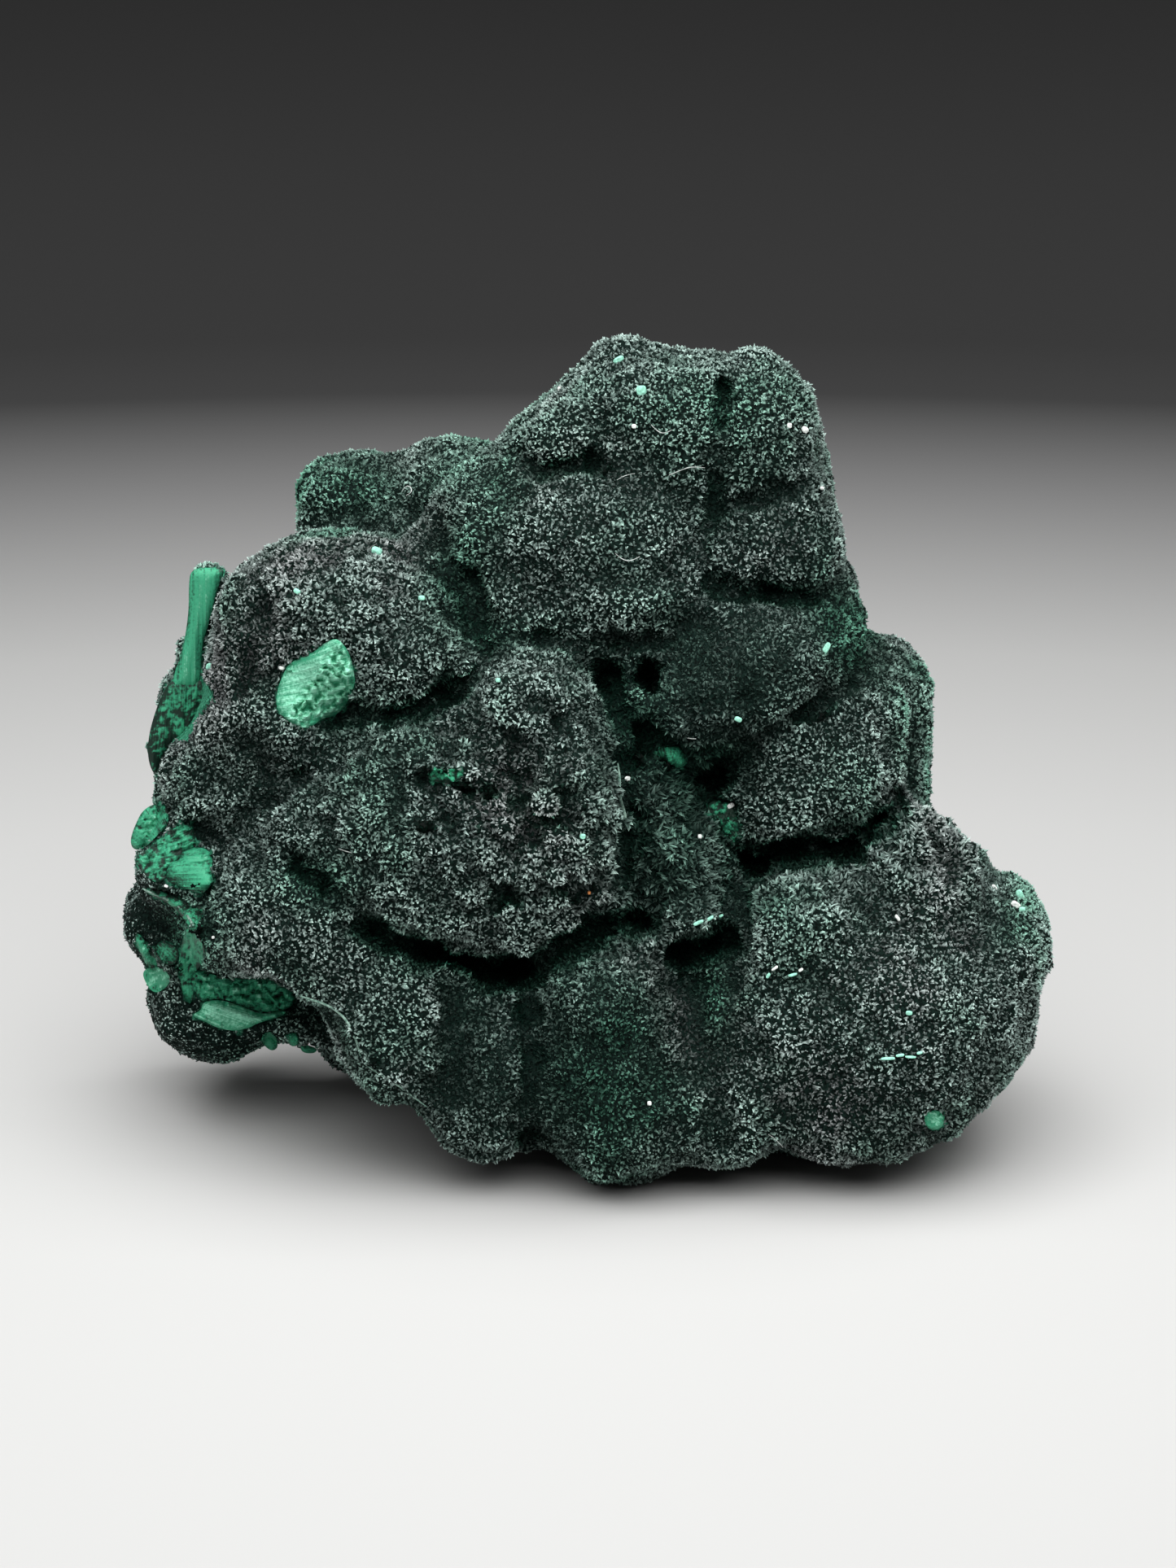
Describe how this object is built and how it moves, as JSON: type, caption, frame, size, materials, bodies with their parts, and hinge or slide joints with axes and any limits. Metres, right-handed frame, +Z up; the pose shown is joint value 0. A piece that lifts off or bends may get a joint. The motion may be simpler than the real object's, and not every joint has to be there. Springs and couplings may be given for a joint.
{
  "type": "malachite specimen",
  "caption": "Loose botryoidal malachite specimen: rounded velvety dark-green lobes with deep crevices and bright green fracture faces.",
  "frame": {"origin": "middle of the specimen's width and depth, at the surface it rests on", "axes": "+Z up as it rests, +X to the right of the pictured face, +Y away from that face"},
  "size_m": [0.067, 0.0446, 0.0575],
  "materials": {
    "velvet_malachite": "dark grey-green fine crystal velvet, matt, bright green where broken"
  },
  "bodies": {
    "root": {"malachite": "velvet_malachite"}
  },
  "joints": []
}
